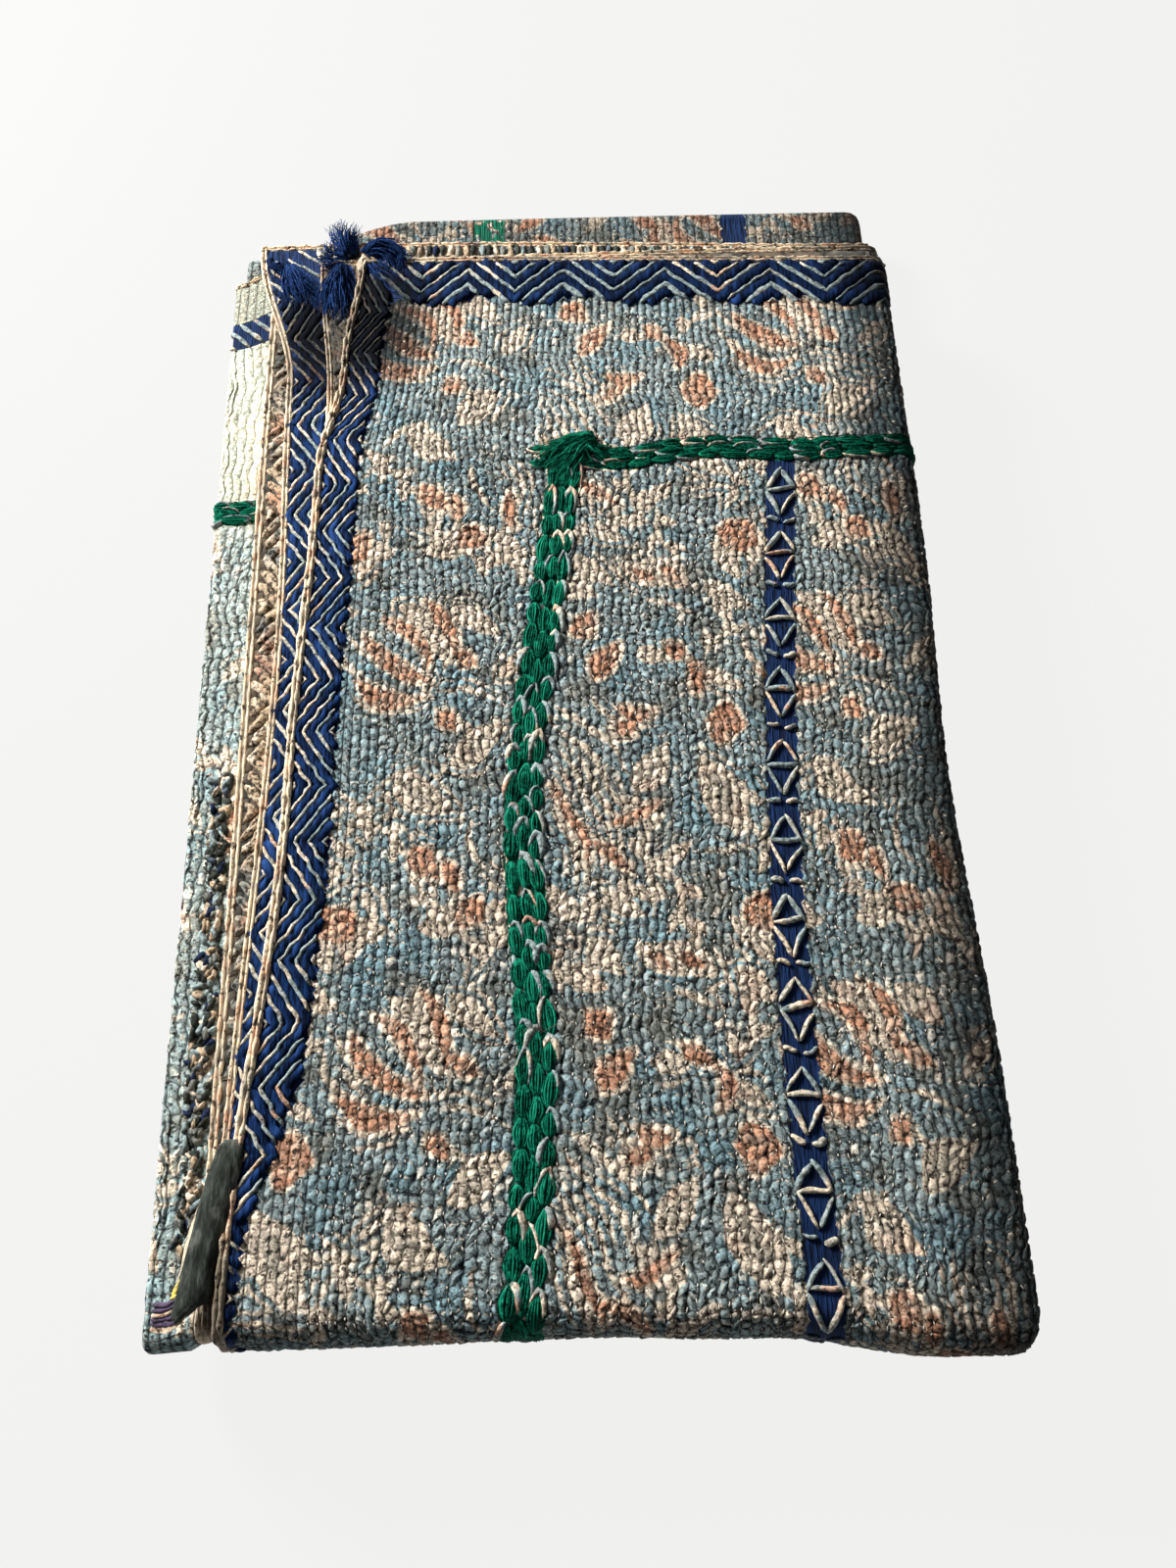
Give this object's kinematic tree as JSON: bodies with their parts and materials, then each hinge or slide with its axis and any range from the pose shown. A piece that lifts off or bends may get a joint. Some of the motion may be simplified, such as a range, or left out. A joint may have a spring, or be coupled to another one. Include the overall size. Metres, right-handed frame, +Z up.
{
  "type": "kantha quilt, folded",
  "caption": "Folded kantha quilt: slate cotton with salmon and cream leaves, indigo chevron border, green and indigo stitched bands, puckered running stitch.",
  "frame": {"origin": "middle of the underside, in plan the middle of the packet's outline", "axes": "+Z up through the layers; +Y away from the near fold, towards the frayed hem corner; +X to the right, towards the folded side"},
  "size_m": [0.3571, 0.606, 0.0674],
  "materials": {
    "quilted_cotton": "matte",
    "indigo_yarn": "matte",
    "green_yarn": "matte",
    "charcoal_cotton": "matte"
  },
  "bodies": {
    "root": {"quilt": "quilted_cotton", "corner_tuft_back": "indigo_yarn", "corner_tuft_down": "indigo_yarn", "second_tuft": "indigo_yarn", "frame_tuft": "green_yarn", "rolled_mend": "charcoal_cotton"}
  },
  "joints": []
}
